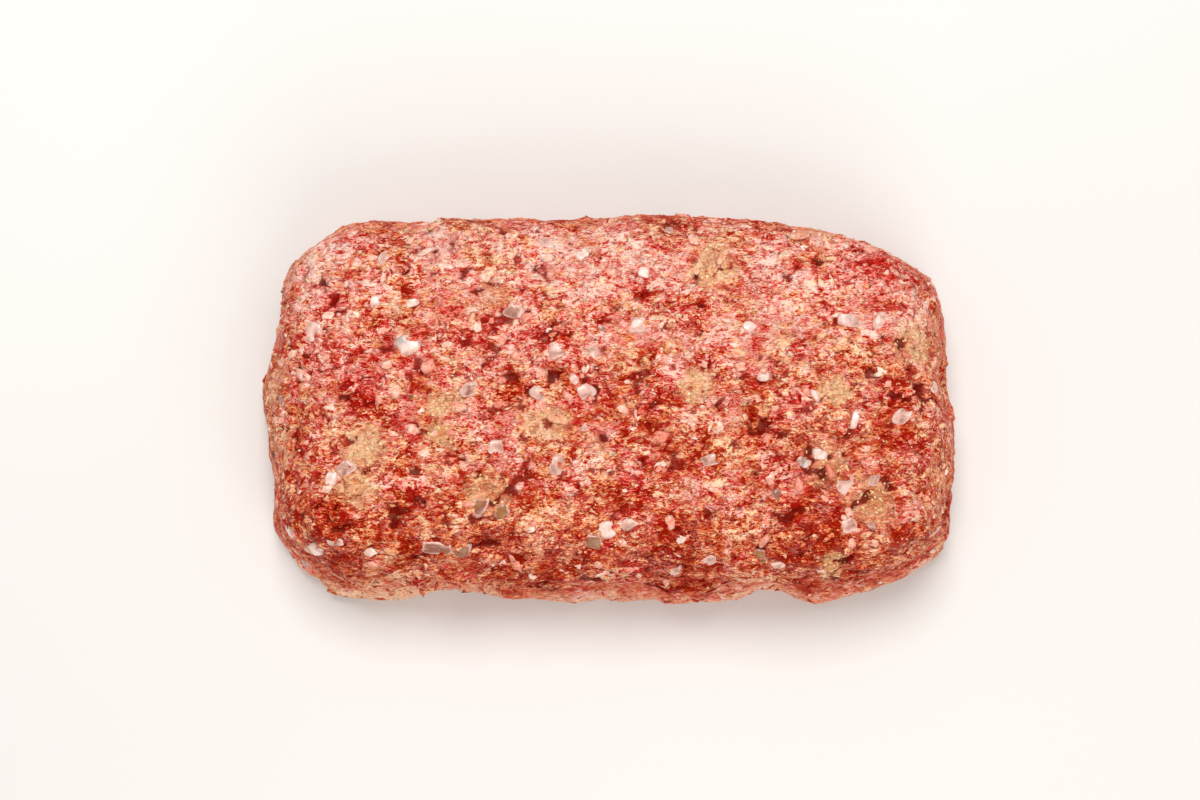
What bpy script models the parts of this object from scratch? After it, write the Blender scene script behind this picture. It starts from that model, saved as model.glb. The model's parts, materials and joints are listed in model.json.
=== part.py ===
"""An uncooked meatloaf: one hand-shaped loaf of minced beef.

Metres, +Z up. The loaf lies along X and rests on z = 0, with the middle of its footprint at the origin.
Its front is at -Y. It is one solid: a grid box rounded into a pat of meat, then pressed out of true by hand.
"""

import math
from collections import namedtuple

import bmesh
import bpy
from mathutils import Vector, noise

MM = 0.001

# Driving dimensions of the loaf, with its widest girth taken near the foot.
LENGTH = 242 * MM
WIDTH = 135 * MM
HEIGHT = 54 * MM

# How the plain block is softened.
CROWN = 4 * MM  # how far the middle of the top stands above its shoulders
SHOULDER_RADIUS = 18 * MM  # the roll from the top into the sides
CORNER_POWER = 8  # a higher power gives squarer corners in plan
# How far each side leans in by the height of the shoulders. The front slopes most, down to a spread foot.
FRONT_LEAN, BACK_LEAN, END_LEAN = 10 * MM, 4.5 * MM, 8.5 * MM
GIRTH_HEIGHT = 9 * MM  # where the loaf is widest
FOOT_TUCK = 3 * MM  # how far the foot rolls in under the girth

# The unevenness that patting by hand leaves all over: size of a lump, then its height.
BROAD_LUMP, BROAD_HEIGHT = 30 * MM, 1.6 * MM
SMALL_LUMP, SMALL_HEIGHT = 12 * MM, 1.0 * MM
LUMP_ROUGHNESS, LUMP_SPACING, LUMP_LAYERS = 1.0, 2.0, 2  # how the small lumps are made of two sizes
# The level creases of the sides: how long, how far apart in height, and how deep.
CREASE_LENGTH, CREASE_PITCH, CREASE_HEIGHT = 55 * MM, 10 * MM, 1.3 * MM

# Grid cells along each edge of the block.
CELLS_X, CELLS_Y, CELLS_Z = 54, 30, 13

# Points nearer the underside than this belong to it.
ON_THE_GROUND = 0.001 * MM

MEAT_COLOUR = (0.60, 0.17, 0.11, 1.0)
MEAT_ROUGHNESS = 0.5

# A place where the hands pushed the meat out (or in, where out is negative), in millimetres:
# its middle, how far round it reaches, and how far it moves the surface.
Swell = namedtuple("Swell", "x y z reach out")

SWELLS = [
    # The long back side: a shallow dip left of the middle between two fuller stretches.
    Swell(-4, 67, 33, 10, -3.4),
    Swell(13, 67, 28, 17, 1.4),
    Swell(-74, 66, 33, 12, -4.2),
    Swell(-46, 67, 33, 14, -0.6),
    # The back right corner is patted down flatter than the others.
    Swell(100, 58, 26, 26, -8.5),
    Swell(66, 67, 26, 18, -2.0),
    # The left end: a full belly low down, drawn in on both sides of it, with a fold at its back half.
    Swell(-121, 4, 15, 22, 2.6),
    Swell(-119, 36, 20, 17, -5.2),
    Swell(-112, 47, 34, 6, -2.4),
    Swell(-119, -25, 27, 15, -3.2),
    # The front left corner sags outwards, and the front foot runs on in slow swells.
    Swell(-108, -57, 12, 14, -0.4),
    Swell(-80, -67, 8, 14, -0.2),
    Swell(-55, -68, 9, 12, -5.6),
    Swell(24, -67, 9, 22, 1.6),
    Swell(57, -68, 9, 11, -5.4),
    Swell(76, -65, 9, 15, 1.2),
    # The right end: full towards the front, with a notch just above its middle.
    Swell(120, -14, 22, 16, 2.2),
    Swell(118, 8, 32, 7, -3.4),
    Swell(118, -38, 27, 10, -3.4),
    Swell(113, -55, 18, 12, 0.6),
    Swell(118, 27, 27, 13, -1.2),
    # The top: two low rises, a hollow between them, and a nick near each long edge.
    Swell(-70, 8, 54, 34, 1.3),
    Swell(58, -6, 54, 36, 1.4),
    Swell(-4, -8, 54, 26, -1.4),
    Swell(-42, 55, 50, 5, -2.8),
    Swell(-39, -48, 46, 6, -2.4),
]


def clear_scene():
    """Removes whatever the opened file shows."""
    for old in list(bpy.data.objects):
        bpy.data.objects.remove(old, do_unlink=True)


def smooth_step(value):
    """0 below 0, 1 above 1, and a soft ramp between."""
    t = min(max(value, 0.0), 1.0)
    return t * t * (3 - 2 * t)


def grid_box(half, cells):
    """A box of these half sizes, standing on z = 0, with each face cut into a grid."""
    bm = bmesh.new()
    bmesh.ops.create_cube(bm, size=2.0)
    bmesh.ops.scale(bm, vec=half, verts=bm.verts)
    bmesh.ops.translate(bm, vec=(0, 0, half.z), verts=bm.verts)
    for axis, count in enumerate(cells):
        along = [
            edge
            for edge in bm.edges
            if abs((edge.verts[0].co - edge.verts[1].co)[axis]) > half[axis]
        ]
        bmesh.ops.subdivide_edges(bm, edges=along, cuts=count - 1, use_grid_fill=True)
    return bm


def roll_shoulder(point, half):
    """Rounds the top edges of the block, and its upright edges with the same radius."""
    reach = half - Vector((SHOULDER_RADIUS,) * 3)
    core = Vector((
        min(max(point.x, -reach.x), reach.x),
        min(max(point.y, -reach.y), reach.y),
        min(point.z, 2 * half.z - SHOULDER_RADIUS),
    ))
    return core + (point - core).normalized() * SHOULDER_RADIUS


def soften_corners(point, half):
    """Bends the rectangle in plan into one with round corners. Its four middles stay where they are."""
    across, along = point.x / half.x, point.y / half.y
    pull = 1 / (CORNER_POWER + 1)  # the amount that leaves no kink at the corner
    return Vector((
        point.x * (1 - pull * abs(along) ** CORNER_POWER),
        point.y * (1 - pull * abs(across) ** CORNER_POWER),
        point.z,
    ))


def lean_sides(point, half):
    """Leans the sides in towards the top, and rolls the foot in under the girth."""
    risen = smooth_step((point.z - GIRTH_HEIGHT) / (HEIGHT - GIRTH_HEIGHT))
    under = max(0.0, 1 - point.z / GIRTH_HEIGHT)
    tuck = FOOT_TUCK * under * under
    along_lean = FRONT_LEAN if point.y < 0 else BACK_LEAN
    return Vector((
        point.x * (1 - (END_LEAN * risen + tuck) / half.x),
        point.y * (1 - (along_lean * risen + tuck) / half.y),
        point.z,
    ))


def raise_crown(point, half):
    """Domes the top slightly, fading to nothing at the foot."""
    across, along = point.x / half.x, point.y / half.y
    dome = max(0.0, 1 - across * across) * max(0.0, 1 - along * along)
    return point + Vector((0, 0, CROWN * dome * point.z / HEIGHT))


def pushed(point, outward):
    """How far the hands moved this point of the surface, along its outward direction."""
    amount = 0.0
    for swell in SWELLS:
        away = point - Vector((swell.x, swell.y, swell.z)) * MM
        amount += swell.out * MM * math.exp(-away.length_squared / (swell.reach * MM) ** 2)
    amount += BROAD_HEIGHT * noise.noise(point / BROAD_LUMP)
    amount += SMALL_HEIGHT * noise.fractal(
        point / SMALL_LUMP, LUMP_ROUGHNESS, LUMP_SPACING, LUMP_LAYERS
    )
    steep = 1 - abs(outward.z)
    along = Vector((point.x / CREASE_LENGTH, point.y / CREASE_LENGTH, point.z / CREASE_PITCH))
    return amount + CREASE_HEIGHT * steep * noise.noise(along)


def press_by_hand(bm):
    """Moves the surface by hand-made swells, dents, lumps and the level creases of the sides."""
    bm.normal_update()
    moves = [(vert, vert.normal * pushed(vert.co, vert.normal)) for vert in bm.verts]
    for vert, move in moves:
        if vert.co.z < ON_THE_GROUND:
            move.z = 0.0
        vert.co += move


def flatten_underside(bm):
    """Makes the underside one flat face on z = 0, where the loaf rests."""
    under = [face for face in bm.faces if all(vert.co.z < ON_THE_GROUND for vert in face.verts)]
    for face in under:
        for vert in face.verts:
            vert.co.z = 0.0
    bmesh.ops.dissolve_faces(bm, faces=under, use_verts=False)


def centre_on_footprint(bm):
    """Puts the middle of the loaf's bounding box over the origin."""
    xs = [vert.co.x for vert in bm.verts]
    ys = [vert.co.y for vert in bm.verts]
    middle = Vector(((min(xs) + max(xs)) / 2, (min(ys) + max(ys)) / 2, 0))
    bmesh.ops.translate(bm, vec=-middle, verts=bm.verts)


def meat_material():
    """The base finish of moist minced beef."""
    material = bpy.data.materials.new("raw_meat")
    material.use_nodes = True
    shader = material.node_tree.nodes["Principled BSDF"]
    shader.inputs["Base Color"].default_value = MEAT_COLOUR
    shader.inputs["Roughness"].default_value = MEAT_ROUGHNESS
    shader.inputs["Metallic"].default_value = 0.0
    return material


def make_meatloaf(collection):
    """The whole loaf, as one closed mesh."""
    half = Vector((LENGTH / 2, WIDTH / 2, (HEIGHT - CROWN) / 2))
    bm = grid_box(half, (CELLS_X, CELLS_Y, CELLS_Z))
    for vert in bm.verts:
        for shape in (roll_shoulder, soften_corners, lean_sides, raise_crown):
            vert.co = shape(vert.co, half)
    press_by_hand(bm)
    flatten_underside(bm)
    centre_on_footprint(bm)
    bmesh.ops.recalc_face_normals(bm, faces=bm.faces)
    mesh = bpy.data.meshes.new("meatloaf")
    bm.to_mesh(mesh)
    bm.free()
    mesh.shade_smooth()
    mesh.materials.append(meat_material())
    loaf = bpy.data.objects.new("meatloaf", mesh)
    collection.objects.link(loaf)
    return loaf


def main():
    clear_scene()
    collection = bpy.data.collections.new("meatloaf")
    bpy.context.scene.collection.children.link(collection)
    make_meatloaf(collection)


main()
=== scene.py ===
"""The looks of an uncooked meatloaf: kneaded minced beef with onion dice, fat, breadcrumbs and herbs.

Metres, +Z up, front at -Y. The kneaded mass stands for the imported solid, and all else is bedded in it.
"""

import json
import math
from collections import namedtuple

import bpy
import numpy as np
from mathutils import Matrix, Vector, kdtree, noise
from mathutils.bvhtree import BVHTree

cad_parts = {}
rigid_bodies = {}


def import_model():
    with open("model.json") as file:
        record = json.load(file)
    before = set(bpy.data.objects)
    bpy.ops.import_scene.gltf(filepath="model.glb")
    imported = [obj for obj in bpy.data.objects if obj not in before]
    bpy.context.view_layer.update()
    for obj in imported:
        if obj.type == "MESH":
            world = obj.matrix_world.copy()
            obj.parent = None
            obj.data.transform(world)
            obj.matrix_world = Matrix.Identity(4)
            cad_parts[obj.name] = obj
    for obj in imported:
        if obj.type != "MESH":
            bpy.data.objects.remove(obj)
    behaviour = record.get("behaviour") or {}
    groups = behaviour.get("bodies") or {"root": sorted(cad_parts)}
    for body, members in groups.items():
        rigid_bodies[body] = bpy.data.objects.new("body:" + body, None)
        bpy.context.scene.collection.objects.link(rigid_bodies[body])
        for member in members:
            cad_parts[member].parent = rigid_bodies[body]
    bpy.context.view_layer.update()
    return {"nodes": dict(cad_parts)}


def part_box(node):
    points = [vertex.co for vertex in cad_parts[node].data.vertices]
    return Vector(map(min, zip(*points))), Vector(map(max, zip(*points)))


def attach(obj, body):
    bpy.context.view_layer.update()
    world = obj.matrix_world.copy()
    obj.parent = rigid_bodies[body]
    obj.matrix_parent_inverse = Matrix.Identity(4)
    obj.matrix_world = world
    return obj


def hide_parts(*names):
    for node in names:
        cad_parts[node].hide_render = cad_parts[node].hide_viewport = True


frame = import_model()

MM = 0.001
SEED = 28
RANDOM = np.random.default_rng(SEED)
noise.seed_set(SEED)  # so that the vector noise is the same in every run

LOW, HIGH = (np.array(corner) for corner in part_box("meatloaf"))
HALF = (HIGH - LOW) / 2
MIDDLE = (HIGH + LOW) / 2

# ---------------- small helpers


def select_only(obj):
    """Leaves this object alone selected and active."""
    for other in bpy.context.view_layer.objects:
        other.select_set(False)
    obj.select_set(True)
    bpy.context.view_layer.objects.active = obj


def apply_modifier(obj, kind, **settings):
    """Adds a modifier with these settings and applies it."""
    select_only(obj)
    modifier = obj.modifiers.new(kind.lower(), kind)
    for name, value in settings.items():
        setattr(modifier, name, value)
    bpy.ops.object.modifier_apply(modifier=modifier.name)


def smooth_step(low, high, value):
    """0 at low, 1 at high, with a soft ramp between. It takes numbers and arrays."""
    t = np.clip((np.asarray(value, float) - low) / (high - low), 0, 1)
    return t * t * (3 - 2 * t)


def uneven(count, low, high, bias=1.0):
    """Random numbers between low and high. A bias over 1 makes small ones more common."""
    return low + (high - low) * RANDOM.random(count) ** bias


def points_of(mesh):
    """The mesh's points, one row each."""
    points = np.empty(len(mesh.vertices) * 3, np.float32)
    mesh.vertices.foreach_get("co", points)
    return points.reshape(-1, 3).astype(float)


def normals_of(mesh):
    """The mesh's point normals, one row each."""
    normals = np.empty(len(mesh.vertices) * 3, np.float32)
    mesh.vertex_normals.foreach_get("vector", normals)
    return normals.reshape(-1, 3).astype(float)


def set_attribute(mesh, name, values):
    """Gives each point of the mesh one number under this name."""
    attribute = mesh.attributes.get(name) or mesh.attributes.new(name, "FLOAT", "POINT")
    attribute.data.foreach_set("value", np.asarray(values, np.float32))


def joined_mesh(name, points, faces):
    """A new object from rows of points and faces."""
    mesh = bpy.data.meshes.new(name)
    mesh.from_pydata(points.tolist(), [], faces.tolist())
    mesh.validate()
    mesh.shade_smooth()
    obj = bpy.data.objects.new(name, mesh)
    bpy.context.scene.collection.objects.link(obj)
    return obj


def finish_piece(obj, material):
    """Gives the piece its material, and lets it move with the loaf."""
    obj.data.materials.clear()
    obj.data.materials.append(material)
    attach(obj, "root")


# ---------------- materials


def add_node(tree, kind, **settings):
    """A new node. A capitalised setting names an input, with _ for a space. The others are the node's own."""
    node = tree.nodes.new(kind)
    for name, value in settings.items():
        if name[0].isupper():
            node.inputs[name.replace("_", " ")].default_value = value
        else:
            setattr(node, name, value)
    return node


def wire(tree, source, target, socket):
    """Joins an output, or a node's first output, to the named or numbered input of a node."""
    output = source.outputs[0] if isinstance(source, bpy.types.Node) else source
    tree.links.new(output, target.inputs[socket])


def math_node(tree, operation, *values):
    """A Math node on numbers and outputs."""
    node = add_node(tree, "ShaderNodeMath", operation=operation)
    for index, value in enumerate(values):
        if isinstance(value, (int, float)):
            node.inputs[index].default_value = value
        else:
            wire(tree, value, node, index)
    return node.outputs[0]


def noise_field(tree, place, size, detail=2.0, roughness=0.5, distortion=0.0, shift=0.0):
    """A noise of this feature size, about 0 to 1. A shift in metres moves it clear of the other ones."""
    moved = add_node(tree, "ShaderNodeVectorMath", operation="ADD")
    moved.inputs[1].default_value = (shift, shift * 0.7, -shift)
    wire(tree, place, moved, 0)
    texture = add_node(
        tree,
        "ShaderNodeTexNoise",
        Scale=1 / size,
        Detail=detail,
        Roughness=roughness,
        Distortion=distortion,
    )
    wire(tree, moved, texture, "Vector")
    return texture.outputs[0]


def stretch(tree, value, low, high, new_low=0.0, new_high=1.0):
    """Maps low..high to new_low..new_high with a soft ramp."""
    node = add_node(tree, "ShaderNodeMapRange", interpolation_type="SMOOTHSTEP")
    for socket, number in zip(
        ("From Min", "From Max", "To Min", "To Max"), (low, high, new_low, new_high)
    ):
        node.inputs[socket].default_value = number
    wire(tree, value, node, "Value")
    return node.outputs[0]


# The sockets of a Mix node in its colour mode.
MIX_FACTOR, MIX_FIRST, MIX_SECOND, MIX_RESULT = 0, 6, 7, 2


def mix_colours(tree, amount, first, second):
    """A colour mix. The amount and both colours may be outputs or plain values."""
    node = add_node(tree, "ShaderNodeMix", data_type="RGBA")
    for socket, value in ((MIX_FACTOR, amount), (MIX_FIRST, first), (MIX_SECOND, second)):
        if isinstance(value, (int, float)):
            node.inputs[socket].default_value = value
        elif isinstance(value, tuple):
            node.inputs[socket].default_value = (*value, 1.0)
        else:
            wire(tree, value, node, socket)
    return node.outputs[MIX_RESULT]


def tint(red, green, blue):
    """A screen colour of 0 to 255 as linear values."""
    return tuple(
        c / 12.92 if c <= 0.04045 else ((c + 0.055) / 1.055) ** 2.4
        for c in (red / 255, green / 255, blue / 255)
    )


def colour_ramp(tree, value, stops):
    """A colour ramp from stops, each a place and a screen colour."""
    node = add_node(tree, "ShaderNodeValToRGB")
    elements = node.color_ramp.elements
    while len(elements) < len(stops):
        elements.new(0.5)
    for element, (place, colour) in zip(elements, stops):
        element.position = place
        element.color = (*tint(*colour), 1.0)
    wire(tree, value, node, 0)
    return node.outputs[0]


def new_group(name, inputs, outputs):
    """An empty shader group with (name, type, default) inputs and (name, type) outputs."""
    tree = bpy.data.node_groups.new(name, "ShaderNodeTree")
    for socket, kind, default in inputs:
        made = tree.interface.new_socket(socket, in_out="INPUT", socket_type=kind)
        made.default_value = default
    for socket, kind in outputs:
        tree.interface.new_socket(socket, in_out="OUTPUT", socket_type=kind)
    return tree, tree.nodes.new("NodeGroupInput"), tree.nodes.new("NodeGroupOutput")


def scaled(tree, place, factors):
    """A place multiplied along each axis, which draws a pattern out where the factor is below 1."""
    node = add_node(tree, "ShaderNodeVectorMath", operation="MULTIPLY")
    node.inputs[1].default_value = factors
    wire(tree, place, node, 0)
    return node.outputs[0]


def fine_lines(tree, field, width):
    """1 along the lines where a noise passes its middle value, fading to 0 at this width."""
    away = math_node(tree, "ABSOLUTE", math_node(tree, "SUBTRACT", field, 0.5))
    return stretch(tree, away, width, 0.0)


def mince_colour_group():
    """The colours of minced beef: patches of pink, red and brown, down to separate bits and grains, with
    painted shade in its crevices, fibre gaps and wrinkles.
    """
    number, colour = "NodeSocketFloat", "NodeSocketColor"
    tree, given, result = new_group(
        "mince_colour",
        [
            ("Tone", number, 0.0),
            ("Warmth", number, 0.0),
            ("Crevice", number, 0.0),
            ("Crumbed", number, 0.0),
            ("Side", number, 0.0),
            ("Smeared", number, 0.0),
            ("Mosaic", number, 1.0),
        ],
        [("Color", colour), ("Roughness", number), ("Height", number)],
    )
    place = add_node(tree, "ShaderNodeTexCoord").outputs["Object"]
    axes = add_node(tree, "ShaderNodeSeparateXYZ")
    wire(tree, place, axes, 0)
    to_the_back = axes.outputs["Y"]
    broad = noise_field(tree, place, 34 * MM, detail=1.0, shift=0.31)
    patch = noise_field(tree, place, 11 * MM, detail=2.0, roughness=0.55, distortion=0.5, shift=0.57)
    mottle = noise_field(tree, place, 3.2 * MM, detail=3.0, roughness=0.6, distortion=0.8, shift=0.11)
    grain = noise_field(tree, place, 0.9 * MM, detail=2.0, roughness=0.65, distortion=0.3, shift=0.83)
    brown = noise_field(tree, place, 19 * MM, detail=2.0, roughness=0.55, distortion=0.6, shift=1.3)

    # Fine wavy fibres, wrinkles and pale strands that run along the loaf.
    combed = scaled(tree, place, (0.5, 1.25, 1.25))
    fibre = noise_field(tree, combed, 1.15 * MM, detail=2.0, roughness=0.7, distortion=1.4, shift=1.9)
    wrinkle = noise_field(tree, combed, 1.5 * MM, detail=1.0, roughness=0.5, distortion=0.9, shift=2.7)
    wrinkle = fine_lines(tree, wrinkle, 0.045)
    strand = noise_field(tree, combed, 2.2 * MM, detail=2.0, roughness=0.6, distortion=1.2, shift=3.9)
    strand = fine_lines(tree, strand, 0.05)
    strand = math_node(tree, "MULTIPLY", strand, stretch(tree, patch, 0.40, 0.60))

    # Every bit of meat has its own paleness and warmth. The bits are wavy, and pulled out along the loaf.
    wander = add_node(tree, "ShaderNodeTexNoise", Scale=1 / (2.4 * MM), Detail=1.0)
    wire(tree, place, wander, "Vector")
    wavy = add_node(tree, "ShaderNodeVectorMath", operation="MULTIPLY_ADD")
    wavy.inputs[1].default_value = (1.6 * MM,) * 3
    wire(tree, wander.outputs["Color"], wavy, 0)
    wire(tree, place, wavy, 2)
    bits = add_node(tree, "ShaderNodeTexVoronoi", Scale=1 / (2.3 * MM))
    wire(tree, scaled(tree, wavy, (0.65, 1.25, 1.4)), bits, "Vector")
    bit = add_node(tree, "ShaderNodeSeparateColor")
    wire(tree, bits.outputs["Color"], bit, 0)
    own_pale, own_warm = (math_node(tree, "SUBTRACT", bit.outputs[index], 0.5) for index in range(2))
    own_pale = math_node(tree, "MULTIPLY", own_pale, given.outputs["Mosaic"])
    own_warm = math_node(tree, "MULTIPLY", own_warm, given.outputs["Mosaic"])

    # How pale the meat is here. Where it is smeared its own bits show less.
    varied = math_node(tree, "MULTIPLY", mottle, 0.7)
    for field, share in ((fibre, 2.4), (own_pale, 0.50)):
        varied = math_node(tree, "MULTIPLY_ADD", field, share, varied)
    varied = math_node(tree, "SUBTRACT", varied, 1.53)
    kept_variety = stretch(tree, given.outputs["Smeared"], 0.0, 1.0, 1.0, 0.7)
    varied = math_node(tree, "MULTIPLY", varied, kept_variety)
    pale = math_node(tree, "MULTIPLY_ADD", broad, 0.35, given.outputs["Tone"])
    pale = math_node(tree, "MULTIPLY_ADD", patch, 0.5, pale)
    pale = math_node(tree, "ADD", math_node(tree, "ADD", pale, varied), 0.03)
    # Painted light: paler towards the back of the top, which faces the light, and darker towards the front.
    pale = math_node(tree, "ADD", pale, stretch(tree, to_the_back, -60 * MM, 55 * MM, -0.06, 0.10))
    pink = colour_ramp(
        tree,
        pale,
        [
            (0.05, (158, 4, 2)),
            (0.28, (198, 36, 22)),
            (0.48, (228, 116, 102)),
            (0.68, (240, 164, 148)),
            (0.95, (252, 214, 198)),
        ],
    )
    warm = colour_ramp(
        tree,
        pale,
        [
            (0.05, (138, 14, 0)),
            (0.28, (184, 48, 10)),
            (0.48, (219, 120, 73)),
            (0.68, (237, 168, 120)),
            (0.95, (252, 214, 176)),
        ],
    )
    front = stretch(tree, to_the_back, 35 * MM, -55 * MM, 0.0, 0.19)
    warmth = math_node(tree, "MULTIPLY_ADD", own_warm, 0.5, math_node(tree, "ADD", brown, front))
    warmth = math_node(tree, "ADD", warmth, given.outputs["Warmth"])
    meat = mix_colours(tree, stretch(tree, warmth, 0.36, 0.72), pink, warm)
    meat = mix_colours(tree, math_node(tree, "MULTIPLY", strand, 0.45), meat, tint(250, 200, 182))

    # Soaked breadcrumb, grainy and yellower where the mix is browner.
    crumbs = colour_ramp(
        tree,
        math_node(tree, "MULTIPLY_ADD", grain, 0.6, math_node(tree, "MULTIPLY", mottle, 0.5)),
        [
            (0.25, (204, 124, 72)),
            (0.50, (231, 176, 132)),
            (0.75, (250, 214, 178)),
        ],
    )
    yellowed = stretch(tree, given.outputs["Warmth"], 0.15, 0.5, 0.0, 0.55)
    crumbs = mix_colours(tree, yellowed, crumbs, tint(202, 128, 44))
    meat = mix_colours(tree, math_node(tree, "MULTIPLY", given.outputs["Crumbed"], 0.85), meat, crumbs)

    # The pressed sides are smeared over with a thin pinkish beige skin, drawn out level.
    level = scaled(tree, place, (0.5, 0.5, 1.3))
    smear = noise_field(tree, level, 2.4 * MM, detail=3.0, roughness=0.65, distortion=0.7, shift=2.1)
    skin_colour = colour_ramp(
        tree,
        math_node(tree, "MULTIPLY_ADD", given.outputs["Tone"], 0.6, smear),
        [
            (0.26, (198, 44, 18)),
            (0.44, (226, 96, 66)),
            (0.60, (242, 138, 106)),
            (0.76, (252, 184, 154)),
        ],
    )
    coverage = stretch(tree, patch, 0.35, 0.6, 0.6, 1.0)
    smeared = math_node(tree, "MULTIPLY", given.outputs["Side"], coverage)
    meat = mix_colours(tree, math_node(tree, "MULTIPLY", smeared, 0.5), meat, skin_colour)

    # Painted shade: crevices, the gaps between fibres and the wrinkles are darkened to deep red, where shade
    # falls.
    deep = mix_colours(
        tree,
        stretch(tree, given.outputs["Crevice"], 0.55, 1.0),
        tint(180, 20, 4),
        tint(108, 4, 0),
    )
    painted_shade = stretch(tree, given.outputs["Crevice"], 0.25, 0.93, 0.0, 0.92)
    creased = stretch(tree, fibre, 0.43, 0.29, 0.0, 0.85)
    wrinkling = stretch(tree, given.outputs["Smeared"], 0.0, 0.8, 0.15, 0.55)
    wrinkled = math_node(tree, "MULTIPLY", wrinkle, wrinkling)
    for gap in (creased, wrinkled):
        painted_shade = math_node(tree, "MAXIMUM", painted_shade, gap)
    wire(tree, mix_colours(tree, painted_shade, meat, deep), result, "Color")
    wire(tree, stretch(tree, mottle, 0.35, 0.65, 0.22, 0.45), result, "Roughness")
    height = math_node(tree, "MULTIPLY_ADD", fibre, 0.6, math_node(tree, "MULTIPLY", mottle, 0.4))
    height = math_node(tree, "MULTIPLY_ADD", wrinkled, -0.25, height)
    wire(tree, height, result, "Height")
    return tree


def attribute_value(tree, name):
    """A number that the piece's points carry."""
    return add_node(tree, "ShaderNodeAttribute", attribute_name=name).outputs["Fac"]


def new_material(name, **shader_values):
    """A material with these values on its Principled shader."""
    material = bpy.data.materials.new(name)
    material.use_nodes = True
    shader = material.node_tree.nodes["Principled BSDF"]
    for socket, value in shader_values.items():
        shader.inputs[socket.replace("_", " ")].default_value = value
    return material, material.node_tree, shader


# How every piece of mince takes the light, which passes a little way in. Its gloss is weak and reddish.
FLESH_GLOW = {
    "Subsurface_Weight": 0.25,
    "Subsurface_Radius": (1.0, 0.28, 0.16),
    "Subsurface_Scale": 0.8 * MM,
    "Specular_IOR_Level": 0.1,
    "Specular_Tint": (1.0, 0.55, 0.4, 1.0),
}


def add_bump(tree, shader, height, depth):
    """Raises the surface by this height, from 0 to depth."""
    bump = add_node(tree, "ShaderNodeBump", Strength=1.0, Distance=depth)
    wire(tree, height, bump, "Height")
    wire(tree, bump, shader, "Normal")


def mince_material(name, group, mosaic=1.0, depth=0.5 * MM):
    """Minced meat whose tone, painted crevice shade and breadcrumbs come from the piece's points. Mosaic is
    how much the separate bits differ, and depth is how far the fine relief rises."""
    material, tree, shader = new_material(name, **FLESH_GLOW)
    mince = add_node(tree, "ShaderNodeGroup")
    mince.node_tree = group
    mince.inputs["Mosaic"].default_value = mosaic
    for trait in ("tone", "warmth", "crevice", "crumbed", "side", "smeared"):
        wire(tree, attribute_value(tree, trait), mince, trait.capitalize())
    wire(tree, mince.outputs["Color"], shader, "Base Color")
    wire(tree, mince.outputs["Roughness"], shader, "Roughness")
    add_bump(tree, shader, mince.outputs["Height"], depth)
    return material


def fleck_material(name, stops, size, roughness, depth, **extra):
    """Something other than meat, mottled at this size between a few colours, with a fine relief."""
    material, tree, shader = new_material(name, Roughness=roughness, **extra)
    place = add_node(tree, "ShaderNodeTexCoord").outputs["Object"]
    field = noise_field(tree, place, size, detail=3.0, roughness=0.6, distortion=0.3)
    value = math_node(tree, "ADD", field, attribute_value(tree, "tone"))
    wire(tree, colour_ramp(tree, value, stops), shader, "Base Color")
    add_bump(tree, shader, field, depth)
    return material


# ---------------- the kneaded mass

# The cell size of the rebuilt surface, fine enough for the smallest bits.
VOXEL = 0.89 * MM
SMOOTHING_PASSES = 8
# What belongs to the underside: faces that point down this much and lie this low.
POINTS_DOWN, LIES_LOW = -0.97, 0.6 * MM

# The bits of meat that make up the surface.
BIT_COUNT = 13000
BIT_REACH = (1.3 * MM, 4.4 * MM)  # half their length
BIT_WIDTH, BIT_ARCH = (0.36, 0.68), 0.38  # as shares of their length, and of their width
BIT_STRAY = 0.5  # how far they turn from lying along the loaf, in radians
BIT_UNEVENNESS, BIT_BLEND = 0.40 * MM, 0.09 * MM  # in how high they lie, and how softly they meet
BIT_THICKNESS, BITS_MEETING = 3 * MM, 12  # the second is how many can meet at one point
DEEPEST_GAP = 1.1 * MM  # between the bits

# The unevenness of the whole mass: how large each kind is, and how far it moves the surface.
WANDER_SIZE, WANDER_REACH = 2.6 * MM, 0.9 * MM  # the outlines of the bits
SWELL_SIZE, SWELL_HEIGHT = 15 * MM, 0.9 * MM
LUMP_SIZE, LUMP_HEIGHT = 7.5 * MM, 0.7 * MM
PIT_SIZE, PIT_DEPTH = 5.0 * MM, 1.1 * MM
LAYER_LENGTH, LAYER_PITCH, LAYER_HEIGHT = 30, 4.2, 1.3 * MM  # the first two in mm
SMEAR_SIZE = 14 * MM
FURROW_DEPTH = 1.1 * MM  # along the edge of the top
HOLLOW_DEPTH = 3.0 * MM  # in the front side, above its foot
# The foot's paleness is painted light, as the spread foot faces up into the light.
TOE_RISE, TOE_PAINTED_LIGHT = 1.2 * MM, 0.34  # of the spread foot at the front
# How much one bit differs from the next in paleness and in warmth.
BIT_PALENESS, BIT_WARMTH = 0.17, 0.13
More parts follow.
